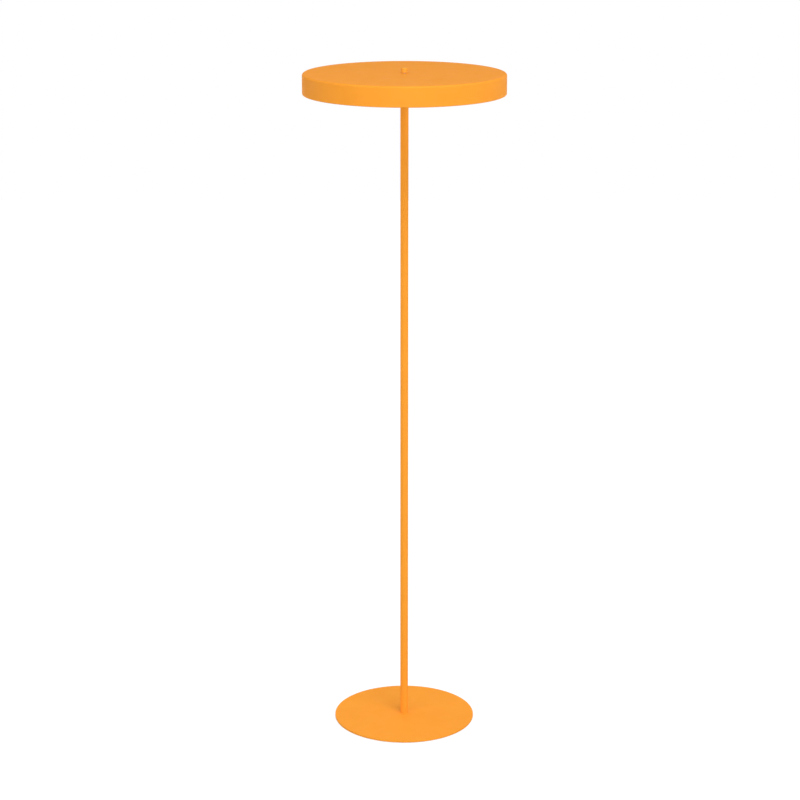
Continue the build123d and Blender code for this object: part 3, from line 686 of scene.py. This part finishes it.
# %% A helper for boards
lacquer_roughness = 0.36
lacquer_specular = 0.5
lacquer_patch = 4 * mm
lacquer_unevenness = 0.06
track_height = 0.03 * mm
cloth_weave = 0.5 * mm
cloth_height = 0.004 * mm


def board(name, lacquer, track, pattern_of):
    """A lacquered board whose tracks are raised lines of another shade."""
    made = Finish(name, lacquer, lacquer_roughness, Specular_IOR_Level=lacquer_specular)
    tracks = pattern_of(made)
    made.tint(tracks, track, start=0.0, end=1.0)
    made.gloss(made.noise(lacquer_patch),
               lacquer_roughness - lacquer_unevenness, lacquer_roughness + lacquer_unevenness)
    made.relief(tracks, track_height)
    made.relief(made.noise(cloth_weave, detail=2.0), cloth_height)
    print(name, "has tracks of", track, "on", lacquer)
    return made

# %% Draw the tracks and mix the boards
wave_rate = 20
ring_wave = 4.0 * mm
track_start = 0.78
track_full = 0.86
brick_length = 8 * mm
brick_gap = 0.05


def round_tracks(finish):
    """One flat track round the upright axis, on each of the two circles of boards."""
    wave = finish.node("ShaderNodeTexWave",
                       wave_type="RINGS", rings_direction="Z", wave_profile="SIN")
    wave.inputs["Scale"].default_value = 1 / (wave_rate * ring_wave)
    finish.link(finish.place, wave.inputs["Vector"])
    return finish.between(wave.outputs["Fac"], 0, 1, track_start, track_full)


def straight_tracks(finish):
    """Short straight runs that meet at right angles."""
    bricks = finish.node("ShaderNodeTexBrick")
    bricks.inputs["Scale"].default_value = 1 / brick_length
    bricks.inputs["Mortar Size"].default_value = brick_gap
    finish.link(finish.place, bricks.inputs["Vector"])
    return bricks.outputs["Fac"]


ring_board = board("white_lacquer_board", (0.84, 0.85, 0.84), (0.76, 0.78, 0.76), round_tracks)
green_board = board("green_lacquer_board", (0.012, 0.11, 0.045), (0.03, 0.20, 0.08),
                    straight_tracks)

# %% [markdown]
# ## Chips, transformer and capacitors
#
# A light chip is a white frame filled with yellow phosphor, and only its lower face shows the
# filling. All the chips are one piece, so the face's direction tells the two apart: what looks
# down is phosphor. The transformer is wound with yellow tape in overlapping turns, and the
# capacitors have a dark sleeve with bare aluminium ends, told apart by direction as well.

# %% Mix the finishes of the small parts
facing_start = 0.7
facing_full = 0.75
tape_wave = 3.0 * mm
tape_wander = 0.4
tape_height = 0.05 * mm
small_specular = 0.5


def facing(finish, axis, sense):
    """1 where the surface looks along that axis, and 0 where it doesn't."""
    geometry = finish.node("ShaderNodeNewGeometry")
    parts = finish.node("ShaderNodeSeparateXYZ")
    finish.link(geometry.outputs["Normal"], parts.inputs["Vector"])
    along = finish.node("ShaderNodeMath", operation="MULTIPLY")
    along.inputs[1].default_value = sense
    finish.link(parts.outputs[axis], along.inputs[0])
    return finish.between(along.outputs["Value"], 0, 1, facing_start, facing_full)


phosphor = Finish("light_chip", (0.86, 0.86, 0.83), 0.40, Specular_IOR_Level=small_specular)
phosphor.tint(facing(phosphor, "Z", -1), (0.86, 0.66, 0.12), start=0.0, end=1.0)
phosphor.gloss(phosphor.noise(0.5 * mm), 0.32, 0.46)
phosphor.relief(phosphor.noise(0.2 * mm), 0.01 * mm)

tape = Finish("winding_tape", (0.80, 0.58, 0.10), 0.30, Specular_IOR_Level=small_specular)
turns = tape.node("ShaderNodeTexWave", wave_type="BANDS", bands_direction="X", wave_profile="SAW")
turns.inputs["Scale"].default_value = 1 / (wave_rate * tape_wave)
turns.inputs["Distortion"].default_value = tape_wander
tape.link(tape.place, turns.inputs["Vector"])
tape.tint(turns.outputs["Fac"], (0.70, 0.48, 0.07), start=0.0, end=1.0)
tape.gloss(tape.noise(3 * mm), 0.24, 0.38)
tape.relief(turns.outputs["Fac"], tape_height)

sleeve = Finish("capacitor_sleeve", (0.015, 0.022, 0.06), 0.30, Specular_IOR_Level=small_specular)
sleeve.tint(sleeve.noise(6 * mm), (0.022, 0.032, 0.08))
sleeve.tint(facing(sleeve, "X", 1), (0.62, 0.63, 0.64), start=0.0, end=1.0)
sleeve.gloss(sleeve.noise(2 * mm), 0.24, 0.40)
sleeve.relief(sleeve.noise(0.8 * mm, stretch=(0.2, 1, 1)), 0.01 * mm)
print("small parts:", *(part.material.name for part in (phosphor, tape, sleeve)))

# %% [markdown]
# ## Dressing the pieces of the model
#
# Every other piece keeps its own mesh, because its shape is already right, and only gets its
# finish. Each one comes with a plain material that is named after its slot, so one table from
# slot to finish dresses them all, and a slot without a finish would stop the script here.

# %% Give each remaining piece its finish
finish_of_slot = {
    "orange_coat": coat,
    "pad_rubber": rubber,
    "grommet_rubber": grommet_black,
    "zinc_steel": zinc,
    "black_steel": blacked,
    "brass": brass,
    "carrier_aluminium": rolled,
    "board_white": ring_board,
    "chip_yellow": phosphor,
    "connector_white": nylon_white,
    "lead_sheath": sheath_pale,
    "opal": opal,
    "driver_plastic": driver_white,
    "board_green": green_board,
    "transformer_tape": tape,
    "capacitor_can": sleeve,
    "dimmer_plastic": dimmer_black,
}
for node in nodes.values():
    plain = node.material_slots[0]
    plain.material = finish_of_slot[plain.material.name].material
print("dressed", len(nodes), "pieces in", len(finish_of_slot), "finishes")

# %% [markdown]
# ## The floor and the white background
#
# The picture has a plain white ground with no horizon. The floor is a pale surface that still
# gives back its light to the lamp and keeps its soft shadow. What makes it white for the eye is
# a little light of its own that only straight views and reflections see, so it adds nothing to
# the light on the lamp. It rises with the distance, as the softboxes light the far floor less.
# The world does the same: white where it is looked at, softer as a light. From below the floor
# is see-through, so that the underside of the lamp can be looked at as well.

# %% Lay the floor and set the world
floor_half = 6.0
floor_colour = (0.46, 0.46, 0.46)
floor_paler = (0.48, 0.48, 0.48)
floor_roughness = 0.9
floor_cloud = 0.6
floor_grain = 2 * mm
floor_grain_height = 0.01 * mm
floor_lift = 0.62
floor_lift_far = 0.90
floor_near = 1.0
floor_far = 4.0
world_level = 0.35
plain_white = (1, 1, 1, 1)


def seen_directly(tree):
    """1 for rays that come straight from the eye, off a gloss or through glass, and else 0."""
    path = tree.nodes.new("ShaderNodeLightPath")
    total = path.outputs["Is Camera Ray"]
    for name in ("Is Glossy Ray", "Is Transmission Ray"):
        either = tree.nodes.new("ShaderNodeMath")
        either.operation = "MAXIMUM"
        tree.links.new(total, either.inputs[0])
        tree.links.new(path.outputs[name], either.inputs[1])
        total = either.outputs["Value"]
    return total


pale = Finish("pale_floor", floor_colour, floor_roughness, Specular_IOR_Level=0.0,
              Emission_Color=plain_white)
pale.tint(pale.noise(floor_cloud), floor_paler)
pale.relief(pale.noise(floor_grain), floor_grain_height)
from_lamp = pale.node("ShaderNodeVectorMath", operation="LENGTH")
pale.link(pale.place, from_lamp.inputs[0])
lift = pale.node("ShaderNodeMath", operation="MULTIPLY")
pale.link(seen_directly(pale.tree), lift.inputs[0])
lift_there = pale.between(from_lamp.outputs["Value"], floor_lift, floor_lift_far,
                          floor_near, floor_far)
pale.link(lift_there, lift.inputs[1])
pale.link(lift.outputs["Value"], pale.shader.inputs["Emission Strength"])

side_seen = pale.node("ShaderNodeNewGeometry")
see_through = pale.node("ShaderNodeBsdfTransparent")
by_side = pale.node("ShaderNodeMixShader")
pale.link(side_seen.outputs["Backfacing"], by_side.inputs["Fac"])
pale.link(pale.shader.outputs["BSDF"], by_side.inputs[1])
pale.link(see_through.outputs["BSDF"], by_side.inputs[2])
pale.link(by_side.outputs["Shader"], pale.tree.nodes["Material Output"].inputs["Surface"])

floor_mesh = bpy.data.meshes.new("floor")
sheet = bmesh.new()
bmesh.ops.create_grid(sheet, x_segments=1, y_segments=1, size=floor_half)
sheet.to_mesh(floor_mesh)
sheet.free()
floor_mesh.materials.append(pale.material)
floor = bpy.data.objects.new("floor", floor_mesh)
bpy.context.scene.collection.objects.link(floor)

world = bpy.data.worlds.new("studio")
world.use_nodes = True
bpy.context.scene.world = world
sky = world.node_tree
ambient = sky.nodes["Background"]
ambient.inputs["Color"].default_value = plain_white
ambient.inputs["Strength"].default_value = world_level
white = sky.nodes.new("ShaderNodeBackground")
white.inputs["Color"].default_value = plain_white
white.inputs["Strength"].default_value = 1.0
choice = sky.nodes.new("ShaderNodeMixShader")
sky.links.new(seen_directly(sky), choice.inputs["Fac"])
sky.links.new(ambient.outputs["Background"], choice.inputs[1])
sky.links.new(white.outputs["Background"], choice.inputs[2])
sky.links.new(choice.outputs["Shader"], sky.nodes["World Output"].inputs["Surface"])
print("floor", 2 * floor_half, "m wide, world level", world_level)

# %% [markdown]
# ## The softboxes
#
# The coat is lit by large soft sources. The main one stands to the front and the right, well
# above the shade, and a larger one higher up softens it: together they put a soft shadow of the
# shade on the top of the tube, one of the tube behind it on the base, and they make the rounded
# top edge of the shade the lightest line of all. A low one in front and one from the left even
# out the shade's side. Three low strips at the back and the sides reach under the shade and
# light the base plate. None of them is seen by the camera, and their levels are plain, so that
# a colour renders about as it was mixed.

# %% Hang the softboxes
def softbox(name, place, aim, width, height, watts):
    """A rectangular soft light that faces its aim."""
    data = bpy.data.lights.new(name, "AREA")
    data.shape = "RECTANGLE"
    data.size = width
    data.size_y = height
    data.energy = watts
    box = bpy.data.objects.new(name, data)
    box.location = place
    box.rotation_euler = (Vector(aim) - Vector(place)).to_track_quat("-Z", "Y").to_euler()
    box.visible_camera = False
    bpy.context.scene.collection.objects.link(box)
    print(name, "gives", watts, "W over", width, "by", height, "m")


lamp_middle = (0, 0, 0.7)
softbox("key_softbox", (1.82, -3.91, 6.22), lamp_middle, 3.6, 1.6, 118)
softbox("high_softbox", (1.01, -2.78, 7.04), lamp_middle, 4.0, 2.0, 127)
softbox("front_softbox", (2.37, -6.51, 1.67), lamp_middle, 3.5, 3.5, 172)
softbox("fill_softbox", (-3.90, -4.64, 4.20), lamp_middle, 3.5, 3.5, 96)
softbox("back_strip", (0, 2.2, 0.9), lamp_middle, 3.0, 0.8, 6)
softbox("left_strip", (-2.0, 0.6, 0.8), lamp_middle, 2.0, 0.8, 12)
softbox("right_strip", (2.0, 0.6, 0.8), lamp_middle, 2.0, 0.8, 11)
